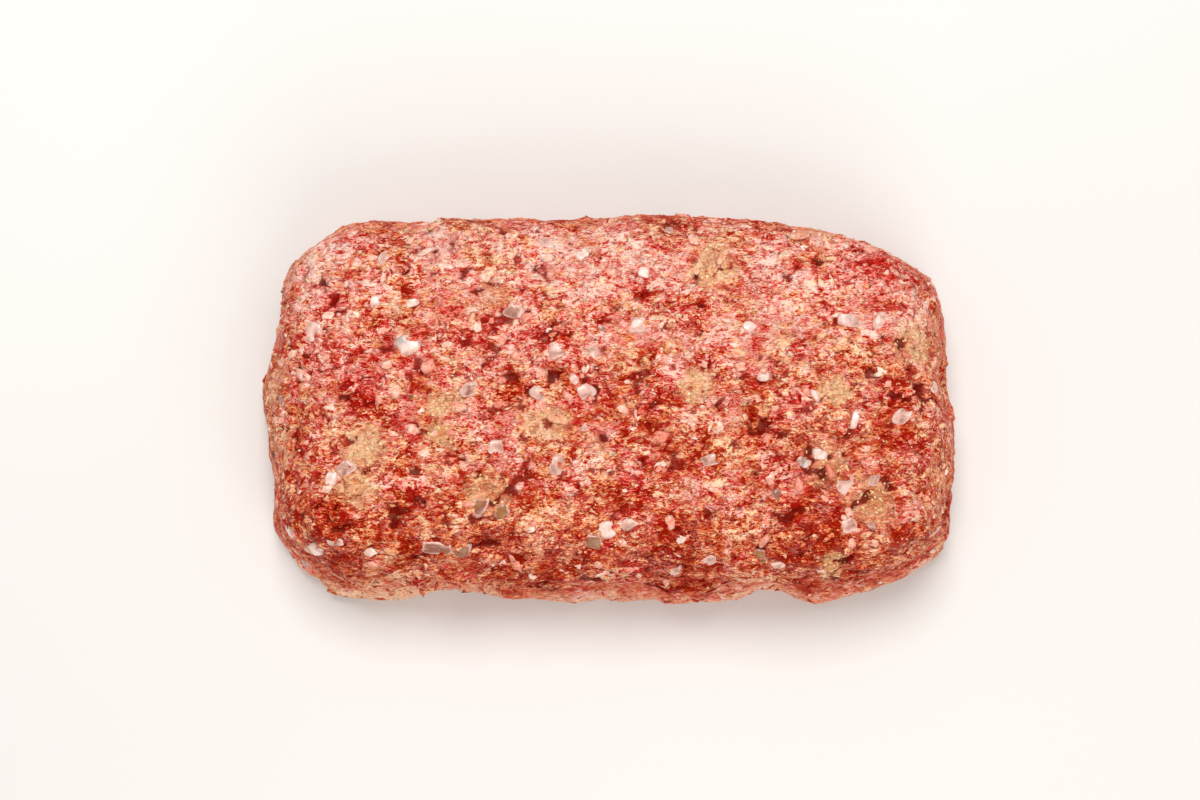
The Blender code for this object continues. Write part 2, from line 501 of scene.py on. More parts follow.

# Where the mix differs, and where light and shade are painted: place across and along as shares of the half
# size, reach in mm, how much breadcrumb there is, how much paler and how much browner the meat is than
# elsewhere.
Blot = namedtuple("Blot", "across along reach crumbs pale warm")
BLOTS = [
    # Sandy breadcrumb.
    Blot(0.29, 0.67, 9, 0.9, 0.0, 0.1),
    Blot(-0.46, -0.04, 6, 1.0, 0.05, 0.1),
    Blot(-0.46, -0.16, 5, 1.0, -0.15, 0.4),
    Blot(-0.67, -0.23, 8, 1.0, 0.05, 0.1),
    Blot(-0.69, -0.43, 7, 0.8, -0.15, 0.4),
    Blot(-0.33, -0.47, 8, 0.6, -0.1, 0.3),
    Blot(0.62, 0.04, 6, 1.0, 0.05, 0.2),
    Blot(0.24, 0.07, 7, 0.8, 0.0, 0.1),
    Blot(0.72, -0.49, 8, 0.8, -0.1, 0.3),
    Blot(0.85, 0.28, 8, 0.8, 0.0, 0.1),
    Blot(-0.16, -0.12, 8, 0.7, 0.1, 0.0),
    Blot(0.62, -0.81, 5, 0.9, -0.1, 0.3),
    Blot(-0.42, 0.01, 4, 0.6, 0.0, 0.0),
    Blot(-0.31, 0.52, 6, 0.4, 0.0, 0.0),
    Blot(0.60, -0.32, 9, 0.5, -0.1, 0.1),
    # Pale and pink.
    Blot(-0.78, 0.69, 18, 0.0, 0.22, -0.2),
    Blot(-0.46, 0.74, 13, 0.0, 0.17, -0.2),
    Blot(-0.16, 0.72, 14, 0.0, 0.15, -0.2),
    Blot(0.09, 0.69, 14, 0.0, 0.13, -0.2),
    Blot(0.45, 0.72, 11, 0.0, 0.12, -0.2),
    Blot(0.47, 0.40, 12, 0.0, 0.10, -0.15),
    Blot(0.32, -0.05, 9, 0.0, 0.10, -0.1),
    Blot(-0.02, -0.27, 12, 0.0, 0.18, -0.2),
    Blot(-0.21, -0.12, 10, 0.0, 0.12, -0.1),
    Blot(0.29, -0.49, 9, 0.0, 0.10, -0.15),
    Blot(0.84, -0.54, 8, 0.0, 0.10, -0.15),
    # Deep red.
    Blot(-0.78, 0.46, 7, 0.0, -0.14, -0.2),
    Blot(-0.65, 0.35, 8, 0.0, -0.14, 0.1),
    Blot(-0.67, 0.0, 10, 0.0, -0.15, -0.1),
    Blot(-0.56, -0.11, 6, 0.0, -0.14, -0.2),
    Blot(-0.16, 0.37, 9, 0.0, -0.18, 0.1),
    Blot(-0.25, 0.07, 8, 0.0, -0.14, 0.0),
    Blot(-0.03, 0.07, 8, 0.0, -0.12, 0.0),
    Blot(0.10, -0.40, 11, 0.0, -0.17, -0.1),
    Blot(0.12, -0.05, 8, 0.0, -0.13, 0.0),
    Blot(0.23, 0.41, 6, 0.0, -0.2, 0.0),
    Blot(0.73, 0.67, 11, 0.0, -0.14, -0.4),
    Blot(0.78, 0.03, 6, 0.0, -0.15, -0.2),
    Blot(0.42, -0.07, 7, 0.0, -0.13, 0.1),
    Blot(0.24, -0.59, 8, 0.0, -0.16, -0.1),
    Blot(-0.52, -0.44, 7, 0.0, -0.13, -0.1),
    Blot(0.82, -0.27, 7, 0.0, -0.14, -0.2),
    # Painted light: paler at the left and the right of the front foot, which faces up into the light.
    Blot(-0.60, -0.98, 13, 0.0, 0.25, 0.0),
    Blot(0.42, -0.98, 11, 0.0, 0.16, 0.0),
    # Browner and darker along the back, the darkness a painted shade, and browner but a little paler at the
    # ends.
    Blot(-0.40, 0.98, 12, 0.0, -0.16, 0.4),
    Blot(-0.12, 0.99, 10, 0.0, -0.26, 0.3),
    Blot(-0.66, 1.0, 11, 0.0, -0.14, 0.4),
    Blot(0.75, 0.92, 10, 0.0, -0.08, 0.3),
    Blot(0.15, 1.0, 13, 0.0, -0.34, 0.35),
    Blot(0.45, 0.98, 12, 0.0, -0.26, 0.3),
    Blot(-0.99, 0.12, 14, 0.0, 0.08, 0.35),
    Blot(-0.99, -0.30, 14, 0.0, 0.06, 0.35),
    Blot(0.99, 0.20, 13, 0.0, 0.06, 0.25),
    Blot(1.0, -0.35, 14, 0.0, 0.10, 0.35),
    # Painted shade, dark and brown, mostly along the front edge of the top, where it turns away from the
    # light.
    Blot(-0.76, -0.67, 14, 0.0, -0.30, 0.25),
    Blot(-0.55, -0.69, 13, 0.0, -0.24, 0.2),
    Blot(-0.31, -0.71, 12, 0.0, -0.24, 0.35),
    Blot(-0.09, -0.75, 11, 0.0, -0.20, 0.35),
    Blot(-0.20, -0.86, 11, 0.0, -0.14, 0.4),
    Blot(0.18, -0.75, 13, 0.0, -0.22, 0.2),
    Blot(0.55, -0.75, 15, 0.0, -0.32, 0.25),
    Blot(0.84, -0.72, 11, 0.0, -0.22, 0.2),
    Blot(0.88, 0.05, 5, 0.0, -0.22, 0.3),
    Blot(0.53, -0.20, 7, 0.0, -0.12, 0.2),
    Blot(0.62, -0.45, 16, 0.0, -0.08, 0.1),
    Blot(-0.60, -0.38, 16, 0.0, -0.08, 0.0),
]

# Pits and furrows of their own: place across and along as shares of the half size, length and width in mm,
# turn in degrees, and depth in mm.
Pit = namedtuple("Pit", "across along long wide turn deep")
PITS = [
    Pit(-0.43, 0.78, 14, 3.0, -75, 1.8),
    Pit(-0.33, 0.735, 6, 2.5, 10, 2.4),
    Pit(-0.845, 0.64, 8, 3.0, 60, 2.2),
    Pit(-0.89, 0.27, 11, 2.5, 80, 1.8),
    Pit(-0.865, 0.0, 40, 3.0, 88, 1.0),
    Pit(-0.74, -0.64, 8, 4.0, 0, 1.8),
    Pit(-0.32, -0.71, 10, 3.5, 10, 2.0),
    Pit(-0.355, -0.59, 5, 3.0, 60, 1.3),
    Pit(0.87, 0.04, 10, 3.0, -60, 2.2),
    Pit(0.825, 0.185, 27, 2.5, -71, 1.2),
    Pit(0.03, 0.46, 4.5, 3.0, 20, 1.8),
    Pit(0.42, -0.74, 5.5, 4.0, 0, 2.2),
]


def lay_bits(points, normals, sides):
    """Flattened bits of meat lying at random on the surface, most of them along the loaf, level on its sides.
    Gives their middles and three directions, half their lengths and widths, and how they arch and lie."""
    chosen = RANDOM.choice(len(points), BIT_COUNT)
    up = normals[chosen]
    level = np.cross((0.0, 0.0, 1.0), up)
    level *= np.where(level[:, :1] < 0, -1, 1)
    side = sides[chosen][:, None]
    base = (1 - side) * (np.array((1.0, 0.0, 0.0)) - up * up[:, :1]) + side * level
    base /= np.linalg.norm(base, axis=1, keepdims=True) + 1e-9
    angle = RANDOM.normal(0, BIT_STRAY, BIT_COUNT)[:, None]
    long_axis = np.cos(angle) * base + np.sin(angle) * np.cross(up, base)
    long = uneven(BIT_COUNT, *BIT_REACH, 1.9)
    wide = long * uneven(BIT_COUNT, *BIT_WIDTH)
    # They are flatter and more even on the pressed sides.
    arch = BIT_ARCH * wide * (1 - 0.5 * sides[chosen])
    lie = RANDOM.normal(0, BIT_UNEVENNESS, BIT_COUNT) * (1 - 0.4 * sides[chosen])
    return points[chosen], long_axis, np.cross(up, long_axis), up, long, wide, arch, lie


def pit_depth(points, pit):
    """How deep one of the pits makes the surface at each point. It fades out towards the ground."""
    away = points[:, :2] - (MIDDLE[:2] + HALF[:2] * (pit.across, pit.along))
    turn = math.radians(pit.turn)
    along = (away @ (math.cos(turn), math.sin(turn))) / (0.5 * pit.long * MM)
    across = (away @ (-math.sin(turn), math.cos(turn))) / (0.5 * pit.wide * MM)
    above = smooth_step(10 * MM, 20 * MM, points[:, 2])
    return pit.deep * MM * np.exp(-(along**2) - across**2) * above


def field_at(points, size, shift):
    """A soft noise of this size, about -1 to 1, at each of these points. The shift tells the fields apart."""
    away = Vector(shift)
    return np.array([noise.noise(Vector(point) / size + away) for point in points])


def relief_of_bits(points, bits):
    """How high the topmost bits stand at each point, and which bits are near and the share each has in it."""
    centres, along, across, up, long, wide, arch, lie = bits
    tree = kdtree.KDTree(BIT_COUNT)
    for index, centre in enumerate(centres):
        tree.insert(centre, index)
    tree.balance()
    near = np.array([[found[1] for found in tree.find_n(point, BITS_MEETING)] for point in points])
    wander = np.array([noise.noise_vector(Vector(point) / WANDER_SIZE) for point in points])
    away = (points + WANDER_REACH * wander)[:, None] - centres[near]
    reach = sum(
        (np.einsum("nki,nki->nk", away, axes[near]) / size) ** 2
        for axes, size in ((along, long[near]), (across, wide[near]), (up, BIT_THICKNESS))
    )
    heights = lie[near] + arch[near] * (1 - reach)
    shares = np.exp((heights - heights.max(1, keepdims=True)) / BIT_BLEND)
    shares /= shares.sum(1, keepdims=True)
    relief = np.maximum((shares * heights).sum(1), -DEEPEST_GAP)
    return relief - relief.mean(), shares, near


def knead(obj):
    """Builds the surface from overlapping bits of meat, with pits, and with level layers on the sides."""
    points, normals = points_of(obj.data), normals_of(obj.data)
    sides = smooth_step(0.50, 0.85, 1 - normals[:, 2])
    relief, shares, near = relief_of_bits(points, lay_bits(points, normals, sides))
    swell = field_at(points, SWELL_SIZE, (5, 0, 0))
    lumpy = field_at(points, LUMP_SIZE, (3, 3, 4))
    pits = smooth_step(0.40, 0.54, field_at(points, PIT_SIZE, (0, 9, 0))) * (1 - 0.6 * sides)
    own_pits = sum(pit_depth(points, place) for place in PITS)
    level = points / (LAYER_LENGTH, LAYER_LENGTH, LAYER_PITCH)
    layer = field_at(level, MM, (0, 0, 0))
    smear = field_at(points, SMEAR_SIZE, (7, 1, 2))

    # The edge of the top stands out here and there over a furrow, and the front is hollow above its foot.
    height = points[:, 2]
    at_the_front = sides * smooth_step(0.2, 0.7, -normals[:, 1])
    furrow = smooth_step(0.0, 0.25, sides) * smooth_step(0.75, 0.35, sides) * smooth_step(-0.05, 0.2, swell)
    hollow = at_the_front * smooth_step(6 * MM, 16 * MM, height) * smooth_step(38 * MM, 26 * MM, height)
    toe = at_the_front * smooth_step(16 * MM, 8 * MM, height)
    rises = relief + SWELL_HEIGHT * swell + LUMP_HEIGHT * lumpy * (1 - 0.6 * sides)
    rises -= PIT_DEPTH * pits + own_pits + FURROW_DEPTH * furrow + HOLLOW_DEPTH * hollow
    rises += LAYER_HEIGHT * sides * layer + TOE_RISE * toe * (1 - 0.5 * pits)

    # The painted shade of the crevices: low places, seams between bits, pits, folds between layers, and the
    # furrow. There is less of it on the foot.
    low = smooth_step(-0.05 * MM, -0.75 * MM, relief + 0.3 * MM * lumpy)
    seam = smooth_step(0.5, 0.95, 1 - shares.max(1))
    folds = smooth_step(-0.12, -0.38, layer) * sides
    pitted = 0.35 * pits + np.minimum(0.8, own_pits / (2.2 * MM))
    crevices = np.minimum(1.0, 0.85 * low + 0.175 * seam + pitted + 0.25 * folds + 0.45 * furrow)
    crevices *= 1 - 0.5 * toe

    # The foot moves less than the rest, and the underside not at all.
    foot = smooth_step(0.0, 5 * MM, height)
    rises = np.where(height < 0.3 * MM, 0.0, rises * (0.3 + 0.7 * foot))
    points = points + normals * rises[:, None]
    points[:, 2] = np.maximum(points[:, 2], 0.0)
    obj.data.vertices.foreach_set("co", points.astype(np.float32).ravel())
    obj.data.update()

    # The painted crevice shade is deeper where the blots make the meat darker.
    crumbs, pale, warm = blots_at(points)
    crevices = np.minimum(1.0, crevices * (1 + 2 * np.maximum(0.0, -pale)))
    smeared = np.maximum(smooth_step(-0.05, 0.30, smear + 1.2 * pale), 0.8 * sides)
    own_pale = (shares * RANDOM.normal(0, BIT_PALENESS, BIT_COUNT)[near]).sum(1)
    own_warm = (shares * RANDOM.normal(0, BIT_WARMTH, BIT_COUNT)[near]).sum(1)
    for trait, values in (
        ("crevice", crevices),
        ("crumbed", crumbs),
        ("side", sides),
        ("smeared", smeared),
        ("tone", pale + TOE_PAINTED_LIGHT * toe + own_pale * (1 - 0.4 * smeared)),
        ("warmth", warm + own_warm),
    ):
        set_attribute(obj.data, trait, values)


def blots_at(points):
    """How much breadcrumb there is at each of these points, and how much paler and browner it is there, with
    painted light and shade.
    """
    crumbs, pale, warm = (np.zeros(len(points)) for _ in range(3))
    ragged = field_at(points, 3.5 * MM, (0, 0, 0))
    for blot in BLOTS:
        middle = MIDDLE[:2] + HALF[:2] * (blot.across, blot.along)
        away = np.linalg.norm(points[:, :2] - middle, axis=1)
        away = away / (blot.reach * MM) + 0.45 * ragged
        crumbs = np.maximum(crumbs, blot.crumbs * smooth_step(1.1, 0.55, away))
        fading = smooth_step(1.3, 0.2, away)
        pale += blot.pale * fading
        warm += blot.warm * fading
    return crumbs, pale, warm


def make_mass():
    """The kneaded mass of minced meat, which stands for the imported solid."""
    mesh = frame["nodes"]["meatloaf"].data.copy()
    mesh.name = "kneaded_mince"
    mass = bpy.data.objects.new("kneaded_mince", mesh)
    bpy.context.scene.collection.objects.link(mass)
    select_only(mass)
    bpy.ops.object.mode_set(mode="EDIT")
    bpy.ops.mesh.select_all(action="SELECT")
    bpy.ops.mesh.remove_doubles(threshold=0.01 * MM)
    bpy.ops.object.mode_set(mode="OBJECT")
    apply_modifier(mass, "REMESH", mode="VOXEL", voxel_size=VOXEL)
    apply_modifier(mass, "SMOOTH", factor=0.5, iterations=SMOOTHING_PASSES)
    flatten_underside(mass)
    mass.data.shade_smooth()
    knead(mass)
    return mass


def flatten_underside(mass):
    """Makes the hidden underside one flat face."""
    select_only(mass)
    mesh = mass.data
    for polygon in mesh.polygons:
        polygon.select = polygon.normal.z < POINTS_DOWN and polygon.center.z < LIES_LOW
    for vertex in mesh.vertices:
        vertex.select = False
    for edge in mesh.edges:
        edge.select = False
    for polygon in mesh.polygons:
        if polygon.select:
            for index in polygon.vertices:
                mesh.vertices[index].co.z = 0.0
    bpy.ops.object.mode_set(mode="EDIT")
    bpy.context.tool_settings.mesh_select_mode = (False, False, True)
    bpy.ops.mesh.dissolve_faces()
    bpy.ops.object.mode_set(mode="OBJECT")


# ---------------- what is bedded in it

Skin = namedtuple("Skin", "spots normals areas crevices sides smeared")
SKIN_BOTTOM = 1.2 * MM  # nothing is bedded lower than this
TRIES = 4  # places tried for each one that has to keep its distance
JUST_ABOVE_GROUND = 0.05 * MM


def attribute_of(mesh, name):
    """The numbers that the mesh's points carry under this name."""
    values = np.empty(len(mesh.vertices), np.float32)
    mesh.attributes[name].data.foreach_get("value", values)
    return values


def skin_of(mass):
    """The mass's outer triangles: their middles, directions and areas, and the traits of the points there."""
    mesh = mass.data
    mesh.calc_loop_triangles()
    corners = np.empty(len(mesh.loop_triangles) * 3, np.int32)
    mesh.loop_triangles.foreach_get("vertices", corners)
    corners = corners.reshape(-1, 3)
    points = points_of(mesh)
    a, b, c = (points[corners[:, i]] for i in range(3))
    length = np.linalg.norm(np.cross(b - a, c - a), axis=1)
    keep = (length > 0) & ((a + b + c)[:, 2] / 3 > SKIN_BOTTOM)
    spots, normals = ((a + b + c) / 3)[keep], normals_of(mesh)[corners].mean(1)[keep]
    normals /= np.linalg.norm(normals, axis=1, keepdims=True)
    traits = [
        attribute_of(mesh, name)[corners].mean(1)[keep] for name in ("crevice", "side", "smeared")
    ]
    return Skin(spots, normals, length[keep] / 2, *traits)


def pick_spots(skin, count, weight=None, apart=0.0):
    """The indices of random places on the skin, none nearer each other than apart."""
    odds = skin.areas * (1 if weight is None else weight)
    odds = odds / odds.sum()
    if apart <= 0:
        return RANDOM.choice(len(odds), count, p=odds)
    tried = RANDOM.choice(len(odds), count * TRIES, p=odds)
    taken, cells = [], {}
    for index in tried:
        spot = skin.spots[index]
        cell = tuple((spot // apart).astype(int))
        close = [
            other
            for dx in (-1, 0, 1)
            for dy in (-1, 0, 1)
            for dz in (-1, 0, 1)
            for other in cells.get((cell[0] + dx, cell[1] + dy, cell[2] + dz), ())
        ]
        if all(np.linalg.norm(skin.spots[other] - spot) > apart for other in close):
            cells.setdefault(cell, []).append(index)
            taken.append(index)
        if len(taken) == count:
            break
    return np.array(taken)


def facing(normals, lean):
    """A turned frame for each normal. Its first column lies mostly along the loaf, and its third is the
    normal, leaned at random by about this angle."""
    count = len(normals)
    up = normals + np.tan(lean) * RANDOM.uniform(-1, 1, (count, 3))
    up /= np.linalg.norm(up, axis=1, keepdims=True)
    side = np.cross(up, RANDOM.normal(size=(count, 3)) * (0.45, 1.0, 1.0))
    side /= np.linalg.norm(side, axis=1, keepdims=True)
    return np.stack([side, np.cross(up, side), up], axis=2)


def crumb_shapes(level, variants, bumpiness, bend=0.0):
    """Rounded lumps made from one ball, each dented in its own way, and their shared faces."""
    bpy.ops.object.select_all(action="DESELECT")
    bpy.ops.mesh.primitive_ico_sphere_add(subdivisions=level, radius=1.0)
    ball = bpy.context.object
    points = points_of(ball.data)
    faces = np.array([tuple(polygon.vertices) for polygon in ball.data.polygons])
    bpy.data.objects.remove(ball, do_unlink=True)
    shapes = []
    for variant in range(variants):
        shift = Vector((variant * 3.7, 1.3, -variant))
        reach = [
            1
            + bumpiness * noise.noise(Vector(point) * 1.3 + shift)
            + 0.5 * bumpiness * noise.noise(Vector(point) * 2.9 - shift)
            for point in points
        ]
        shape = points * np.array(reach)[:, None]
        shape[:, 1] += bend * (variant % 3 - 1) * (shape[:, 0] ** 2 - 0.4)
        shapes.append(shape)
    return np.array(shapes), faces


def bed(name, shapes, faces, skin, places, sizes, proportions, sink, lean, tones):
    """One piece from many crumbs at these places of the skin, each with its own size, proportions and tone.
    Sink is how far below the skin a crumb's middle lies, as a share of half its thickness."""
    spots, normals = skin.spots[places], skin.normals[places]
    count, corners = len(spots), shapes.shape[1]
    chosen = shapes[RANDOM.integers(0, len(shapes), count)]
    scale = sizes[:, None] / 2 * proportions
    turned = np.einsum("nij,nvj->nvi", facing(normals, lean), chosen * scale[:, None, :])
    centres = spots - normals * (sink * scale[:, 2])[:, None]
    points = (centres[:, None, :] + turned).reshape(-1, 3)
    points[:, 2] = np.maximum(points[:, 2], JUST_ABOVE_GROUND)
    first_corners = (np.arange(count) * corners)[:, None, None]
    all_faces = (faces[None] + first_corners).reshape(-1, faces.shape[1])
    piece = joined_mesh(name, points, all_faces)
    set_attribute(piece.data, "tone", np.repeat(tones, corners))
    return piece


def proportions_of(count, long, wide, thick):
    """Random lengths, widths and thicknesses, each between its own two shares of the size."""
    return np.stack([uneven(count, *long), uneven(count, *wide), uneven(count, *thick)], 1)


# Bits of meat: name, ball level, how many, smallest and largest size in mm, mean paleness, length, width and
# thickness as shares of the size, how deep they sink, and how much they bend.
Bits = namedtuple("Bits", "name level count low high tone long wide thick sink bend")
MEAT_BITS = [
    Bits("coarse_mince", 2, 600, 2.6, 5.0, 0.02, (1.0, 1.8), (0.5, 0.85), (0.18, 0.30), 0.35, 0.0),
    Bits("lean_crumbs", 1, 5200, 1.2, 2.8, -0.14, (1.1, 2.0), (0.5, 0.85), (0.20, 0.36), 0.35, 0.0),
    Bits("pink_crumbs", 1, 6000, 1.1, 2.6, 0.08, (1.1, 2.0), (0.5, 0.85), (0.20, 0.36), 0.35, 0.0),
    Bits("fine_grains", 1, 5000, 0.7, 1.3, 0.0, (0.8, 1.4), (0.5, 0.85), (0.3, 0.6), 0.2, 0.0),
    Bits("meat_strands", 2, 60, 4.5, 8.0, 0.08, (0.9, 1.3), (0.16, 0.26), (0.12, 0.18), 0.3, 0.3),
]
FAT_FLECKS, BREADCRUMBS, SMALL_DICE = 620, 900, 30  # how many of each


def make_meat_bits(skin, group):
    """The bits, crumbs, grains and strands of mince that cover the mass, fewer in its crevices and on its
    smeared sides. The strands lie on the top."""
    open_skin = np.clip(1.15 - skin.crevices, 0.03, 1) * (1 - 0.6 * skin.sides) * (1 - 0.5 * skin.smeared)
    on_top = open_skin * (1 - skin.sides) ** 4
    for kind in MEAT_BITS:
        shapes, faces = crumb_shapes(kind.level, variants=24, bumpiness=0.6, bend=kind.bend)
        chosen = pick_spots(skin, kind.count, on_top if kind.bend else open_skin)
        spots, normals, count = skin.spots[chosen], skin.normals[chosen], len(chosen)
        crumbs, pale, warm = blots_at(spots)
        piece = bed(
            kind.name,
            shapes,
            faces,
            skin,
            chosen,
            uneven(count, kind.low * MM, kind.high * MM, 1.8),
            proportions_of(count, kind.long, kind.wide, kind.thick),
            kind.sink,
            lean=0.12,
            tones=kind.tone + pale + RANDOM.normal(0, 0.13, count),
        )
        corners = shapes.shape[1]
        for trait, values in (
            ("warmth", warm + RANDOM.normal(0, 0.12, count)),
            ("crumbed", crumbs),
            ("side", skin.sides[chosen]),
            ("smeared", skin.smeared[chosen]),
        ):
            set_attribute(piece.data, trait, np.repeat(values, corners))
        # Painted shade: a bit is darker where it goes into the mass, as contact shade.
        away = points_of(piece.data).reshape(count, corners, 3) - spots[:, None]
        above = np.einsum("nvi,ni->nv", away, normals)
        set_attribute(piece.data, "crevice", 0.4 * smooth_step(0.05 * MM, -0.35 * MM, above).ravel())
        finish_piece(piece, mince_material(kind.name, group, mosaic=0.4))


def make_fat(skin):
    """Flecks of white fat, most of them on the top."""
    shapes, faces = crumb_shapes(level=2, variants=16, bumpiness=0.8)
    weight = np.clip(1.1 - skin.crevices, 0.05, 1) * (1 - 0.85 * skin.sides)
    chosen = pick_spots(skin, FAT_FLECKS, weight, apart=1.5 * MM)
    count = len(chosen)
    piece = bed(
        "fat_flecks",
        shapes,
        faces,
        skin,
        chosen,
        uneven(count, 0.9 * MM, 4.6 * MM, 3.0),
        proportions_of(count, (0.9, 1.6), (0.6, 1.0), (0.25, 0.45)),
        sink=0.4,
        lean=0.3,
        tones=RANDOM.normal(-0.10, 0.12, count),
    )
    material = fleck_material(
        "raw_fat",
        [
            (0.20, (224, 130, 108)),
            (0.42, (238, 170, 148)),
            (0.65, (250, 212, 192)),
        ],
        size=1.5 * MM,
        roughness=0.32,
        depth=0.15 * MM,
        Subsurface_Weight=0.4,
        Subsurface_Radius=(1.0, 0.6, 0.45),
        Subsurface_Scale=1.0 * MM,
    )
    finish_piece(piece, material)


def make_breadcrumbs(skin):
    """Soaked breadcrumbs, thick in their patches and thin elsewhere."""
    shapes, faces = crumb_shapes(level=1, variants=16, bumpiness=0.8)
    chosen = pick_spots(skin, BREADCRUMBS, blots_at(skin.spots)[0] ** 1.5 + 0.006)
    count = len(chosen)
    piece = bed(
        "breadcrumbs",
        shapes,
        faces,
        skin,
        chosen,
        uneven(count, 0.6 * MM, 1.8 * MM, 1.5),
        proportions_of(count, (0.8, 1.3), (0.8, 1.1), (0.3, 0.6)),
        sink=0.4,
        lean=0.5,
        tones=RANDOM.normal(0, 0.08, count),
    )
    material = fleck_material(
        "soaked_breadcrumb",
        [
            (0.22, (212, 150, 96)),
            (0.45, (234, 182, 130)),
            (0.70, (248, 214, 170)),
        ],
        size=1.2 * MM,
        roughness=0.5,
        depth=0.2 * MM,
        Subsurface_Weight=0.3,
        Subsurface_Radius=(1.0, 0.6, 0.3),
        Subsurface_Scale=0.8 * MM,
    )
    finish_piece(piece, material)


# ---------------- onion

# Diced onion on the top: place as shares of the half size, length and width in mm, turn in degrees, and kind.
Dice = namedtuple("Dice", "across along long wide turn kind")
DICE = [
    Dice(-0.89, -0.65, 7, 6, 60, "white"),
    Dice(-0.82, -0.73, 8, 7, 30, "white"),
    Dice(-0.91, 0.01, 4.5, 4, 0, "glassy"),
    Dice(-0.47, -0.73, 12, 5.5, -5, "glassy"),
    Dice(-0.55, 0.27, 9, 7.0, 20, "white"),
    Dice(-0.82, 0.34, 7, 5.5, 60, "clear"),
    Dice(-0.64, 0.49, 5, 4.5, 10, "white"),
    Dice(-0.54, 0.48, 5.5, 3, 15, "white"),
    Dice(-0.14, 0.25, 7, 6, 30, "clear"),
    Dice(0.08, 0.37, 7, 6, 0, "clear"),
    Dice(-0.04, 0.24, 4, 4, 40, "clear"),
    Dice(-0.06, 0.04, 6.5, 5.5, 25, "clear"),
    Dice(-0.19, 0.03, 7, 5, -35, "clear"),
    Dice(-0.38, 0.05, 7, 5, 15, "lilac"),
    Dice(-0.26, 0.44, 7, 5, -15, "lilac"),
    Dice(-0.14, -0.33, 6.5, 5, 70, "clear"),
    Dice(-0.76, -0.39, 6, 4, 80, "white"),
    Dice(-0.72, -0.34, 6, 5, 40, "lilac"),
    Dice(-0.35, -0.52, 9, 6, 65, "glassy"),
    Dice(-0.29, -0.55, 6, 4.5, 30, "green"),
    Dice(-0.4, -0.74, 6.5, 5, 5, "green"),
    Dice(-0.75, -0.7, 6, 3.5, 10, "lilac"),
    Dice(0.0, -0.64, 7, 6, 20, "white"),
    Dice(-0.04, -0.7, 6, 5, -10, "green"),
    Dice(0.06, -0.61, 7, 4, 25, "clear"),
    Dice(0.19, -0.84, 5, 3.5, 30, "clear"),
    Dice(0.65, -0.41, 8, 5, 65, "clear"),
    Dice(0.58, -0.27, 5, 4.4, 0, "white"),
    Dice(0.54, -0.31, 4, 3.5, 40, "clear"),
    Dice(0.66, -0.62, 6, 5, 20, "clear"),
    Dice(0.42, -0.76, 5, 4, 0, "green"),
    Dice(0.39, 0.36, 5.5, 4.5, -40, "white"),
    Dice(0.67, 0.4, 9, 6.5, 10, "clear"),
    Dice(0.75, 0.39, 6, 4, 60, "clear"),
    Dice(0.81, -0.08, 6.5, 5, 55, "clear"),
    Dice(0.68, -0.1, 6.5, 2.6, 75, "white"),
    Dice(0.57, 0.02, 5, 2.2, -60, "white"),
    Dice(0.43, 0.11, 4.5, 3.5, 0, "white"),
    Dice(-0.17, 0.78, 6, 5, 10, "clear"),
    Dice(-0.07, 0.72, 5, 4, 40, "white"),
    Dice(0.1, 0.63, 4.5, 3.5, -20, "white"),
    Dice(0.28, -0.3, 6, 4, 15, "lilac"),
]
# How pale each kind is, and how much paler it is at its outline than in its middle. The paler middle of the
# white ones is a painted highlight.
DICE_TONES = {
    "green": (-0.42, 0.30),
    "glassy": (-0.32, 0.36),
    "lilac": (-0.12, 0.12),
    "clear": (-0.04, 0.08),
    "white": (0.20, -0.20),
}
DICE_THICKNESS = 0.5  # as a share of the width
DICE_STANDS_OUT = 0.35  # how far its top stands above the meat, in mm


def dice_shapes():
    """A few diced bits of onion, curved and pillowed, of size 1, and how near the outline each point is."""
    shapes = []
    for variant in range(6):
        bpy.ops.object.select_all(action="DESELECT")
        bpy.ops.mesh.primitive_cube_add(size=1.0)
        dice = bpy.context.object
        bpy.ops.object.mode_set(mode="EDIT")
        bpy.ops.mesh.select_all(action="SELECT")
        bpy.ops.mesh.subdivide(number_cuts=5)
        bpy.ops.mesh.quads_convert_to_tris()
        bpy.ops.object.mode_set(mode="OBJECT")
        flat = points_of(dice.data)
        faces = np.array([tuple(polygon.vertices) for polygon in dice.data.polygons])
        bpy.data.objects.remove(dice, do_unlink=True)
        # Somewhere between a box and a ball: the higher the power, the squarer.
        power = 2.4 + 0.3 * variant
        points = flat * (0.5 / (np.abs(flat) ** power).sum(1) ** (1 / power))[:, None]
        shift = Vector((variant * 5.1, 2.0, 0.0))
        dents = [noise.noise_vector(Vector(point) * 1.5 + shift) for point in points]
        points = points + 0.11 * np.array(dents)
        points[:, 0] += 0.2 * points[:, 1] * math.sin(variant)
        points[:, 2] -= 0.3 * points[:, 0] ** 2
        outline = smooth_step(0.36, 0.5, np.abs(flat[:, :2]).max(1))
        shapes.append((points, faces, outline))
    return shapes


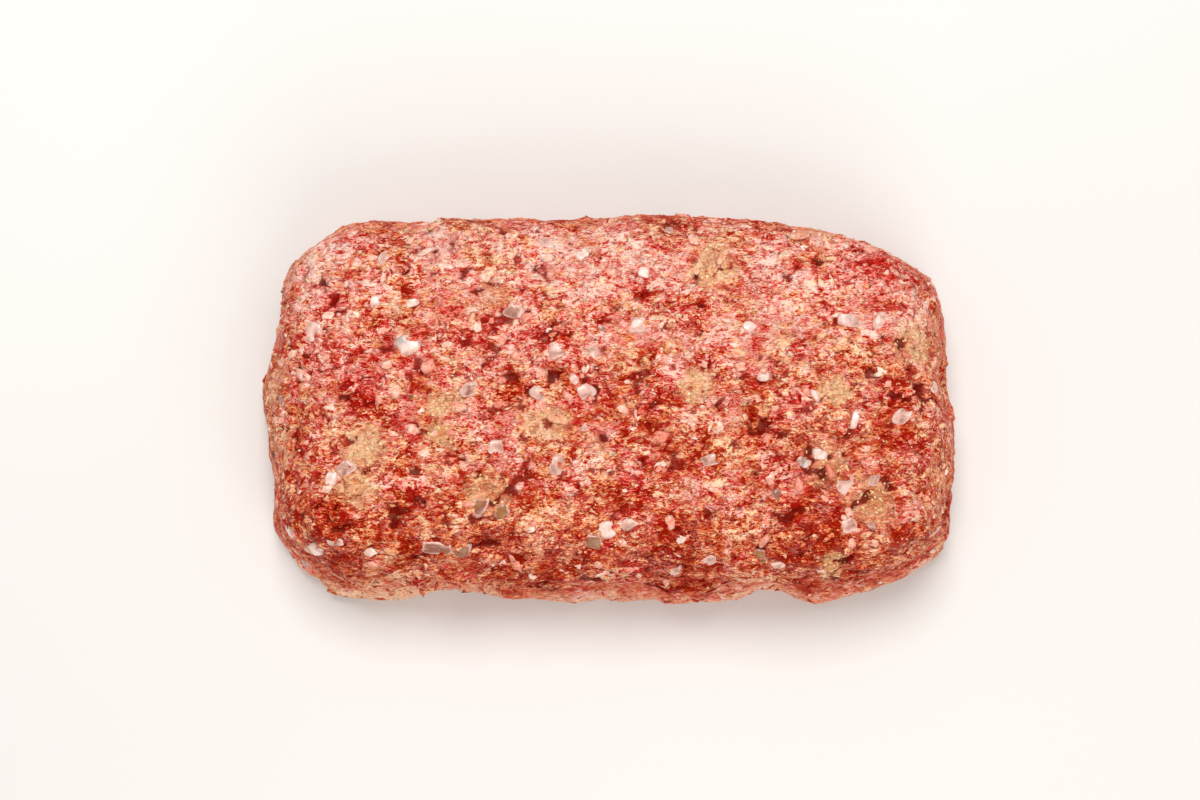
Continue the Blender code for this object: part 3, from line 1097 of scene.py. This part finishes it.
def make_onion(mass, skin):
    """Diced onion pressed into the top, with smaller bits all round. The skin it covers takes no crumbs."""
    tree = BVHTree.FromPolygons(
        [tuple(point) for point in points_of(mass.data)],
        [tuple(polygon.vertices) for polygon in mass.data.polygons if len(polygon.vertices) < 5],
    )
    placed = []
    for dice in DICE:
        x, y = MIDDLE[0] + dice.across * HALF[0], MIDDLE[1] + dice.along * HALF[1]
        hit = tree.ray_cast(Vector((x, y, 2 * HIGH[2])), Vector((0, 0, -1)))[0]
        placed.append((np.array(hit), dice.long, dice.wide, dice.turn, *DICE_TONES[dice.kind]))
    for index in pick_spots(skin, SMALL_DICE, 1 - 0.5 * skin.sides, apart=12 * MM):
        long = float(uneven(1, 2.6, 6.0, 1.6)[0])
        wide = long * float(uneven(1, 0.6, 1.0)[0])
        turn, tone = RANDOM.uniform(0, 360), RANDOM.uniform(-0.28, 0.04)
        placed.append((skin.spots[index], long, wide, turn, tone, 0.1))
    shapes = dice_shapes()
    points, faces, tones, start = [], [], [], 0
    for index, (spot, long, wide, turn, tone, paler) in enumerate(placed):
        shape, shape_faces, outline = shapes[index % len(shapes)]
        thick = DICE_THICKNESS * wide
        away = skin.spots - spot
        near = np.linalg.norm(away, axis=1) < 0.6 * long * MM
        up = Vector(skin.normals[near].mean(0)).normalized()
        side = Matrix.Rotation(math.radians(turn), 3, up) @ (Vector((1, 0, 0)) - up * up.x).normalized()
        axes = np.array([side, up.cross(side), up])
        under = np.abs(away @ axes[:2].T) < np.array((0.5 * long, 0.5 * wide)) * MM
        under = under.all(1) & (np.linalg.norm(away, axis=1) < long * MM)
        # Its top is just above the higher meat that it covers, and the rest is bedded.
        level = np.percentile(away[under] @ axes[2], 80) if under.any() else 0.0
        centre = spot + axes[2] * (level - (0.5 * thick - DICE_STANDS_OUT) * MM)
        rows = centre + (shape * np.array((long, wide, thick)) * MM) @ axes
        rows[:, 2] = np.maximum(rows[:, 2], JUST_ABOVE_GROUND)
        skin.areas[under] = 0.0
        points.append(rows)
        faces.append(shape_faces + start)
        tones.append(tone + outline * paler)
        start += len(rows)
    piece = joined_mesh("onion_dice", np.concatenate(points), np.concatenate(faces))
    set_attribute(piece.data, "tone", np.concatenate(tones))
    material = fleck_material(
        "raw_onion",
        [
            (0.00, (160, 108, 46)),
            (0.20, (140, 82, 62)),
            (0.48, (216, 170, 156)),
            (0.85, (246, 228, 218)),
        ],
        size=3.5 * MM,
        roughness=0.28,
        depth=0.1 * MM,
        Subsurface_Weight=0.6,
        Subsurface_Radius=(1.0, 0.8, 0.7),
        Subsurface_Scale=1.6 * MM,
        Coat_Weight=0.15,
        Coat_Roughness=0.1,
    )
    finish_piece(piece, material)


# Seasoning: name, how many, smallest and largest size in mm, thickness as a share of it, and two colours.
Seasoning = namedtuple("Seasoning", "name count low high thick dark light")
SEASONINGS = [
    Seasoning("herb_flecks", 40, 0.8, 2.0, (0.15, 0.3), (88, 62, 26), (130, 96, 48)),
    Seasoning("pepper_specks", 110, 0.35, 0.8, (0.5, 0.9), (60, 26, 14), (110, 60, 34)),
]


def make_seasoning(skin):
    """Flecks of herb and ground pepper, lying on the meat."""
    shapes, faces = crumb_shapes(level=1, variants=8, bumpiness=0.8)
    for kind in SEASONINGS:
        chosen = pick_spots(skin, kind.count)
        piece = bed(
            kind.name,
            shapes,
            faces,
            skin,
            chosen,
            uneven(kind.count, kind.low * MM, kind.high * MM, 1.8),
            proportions_of(kind.count, (0.8, 1.4), (0.5, 0.9), kind.thick),
            sink=-0.5,
            lean=0.4,
            tones=RANDOM.normal(0, 0.1, kind.count),
        )
        stops = [(0.3, kind.dark), (0.7, kind.light)]
        material = fleck_material(kind.name, stops, size=0.8 * MM, roughness=0.6, depth=0.05 * MM)
        finish_piece(piece, material)


# ---------------- stage

# The studio lights: name, place and size in metres, and power in watts.
LIGHTS = [
    ("window", (-0.1, 0.68, 1.5), 0.8, 18.6),
    ("fill", (0.5, -1.3, 1.0), 1.6, 13.5),
]
STUDIO_BRIGHTNESS = 0.52
# The camera: where it looks, how far it leans to the front, how far off it is, and its lens and sensor in mm.
CAMERA_AIM, CAMERA_LEAN, CAMERA_DISTANCE = Vector((-0.0026, 0.0018, 0.03)), math.radians(5), 0.7560
CAMERA_LENS, CAMERA_SENSOR = 65.0, 36.0


def make_stage():
    """A pale floor, soft light from above and from the front, and the camera above, leaning a little."""
    bpy.ops.object.select_all(action="DESELECT")
    bpy.ops.mesh.primitive_plane_add(size=6.0, location=(0, 0, -0.05 * MM))
    floor = bpy.context.object
    floor.name = "floor"
    material, tree, shader = new_material("pale_floor", Roughness=0.55)
    place = add_node(tree, "ShaderNodeTexCoord").outputs["Object"]
    field = noise_field(tree, place, size=0.4, detail=2.0)
    stops = [(0.3, (222, 219, 216)), (0.7, (227, 224, 221))]
    wire(tree, colour_ramp(tree, field, stops), shader, "Base Color")
    floor.data.materials.append(material)

    world = bpy.data.worlds.new("studio")
    world.use_nodes = True
    background = world.node_tree.nodes["Background"]
    background.inputs["Color"].default_value = (1.0, 0.985, 0.965, 1.0)
    background.inputs["Strength"].default_value = STUDIO_BRIGHTNESS
    bpy.context.scene.world = world

    for name, place, size, power in LIGHTS:
        light = bpy.data.lights.new(name, "AREA")
        light.shape, light.size, light.energy = "DISK", size, power
        light.color = (1.0, 0.99, 0.97)
        lamp = bpy.data.objects.new(name, light)
        lamp.location = place
        lamp.rotation_euler = (-Vector(place)).to_track_quat("-Z", "Y").to_euler()
        bpy.context.scene.collection.objects.link(lamp)

    camera = bpy.data.objects.new("camera", bpy.data.cameras.new("camera"))
    camera.data.lens, camera.data.sensor_width = CAMERA_LENS, CAMERA_SENSOR
    backwards = Vector((0, -math.sin(CAMERA_LEAN), math.cos(CAMERA_LEAN)))
    camera.location = CAMERA_AIM + backwards * CAMERA_DISTANCE
    camera.rotation_euler = (CAMERA_LEAN, 0, 0)
    camera.data.clip_start = 0.01
    bpy.context.scene.collection.objects.link(camera)
    bpy.context.scene.camera = camera
    bpy.context.scene.view_settings.view_transform = "Standard"


# ---------------- making it

make_stage()
mass = make_mass()
skin = skin_of(mass)
mince = mince_colour_group()
finish_piece(mass, mince_material("kneaded_mince", mince, depth=0.95 * MM))
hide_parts("meatloaf")
make_onion(mass, skin)
make_meat_bits(skin, mince)
make_fat(skin)
make_breadcrumbs(skin)
make_seasoning(skin)
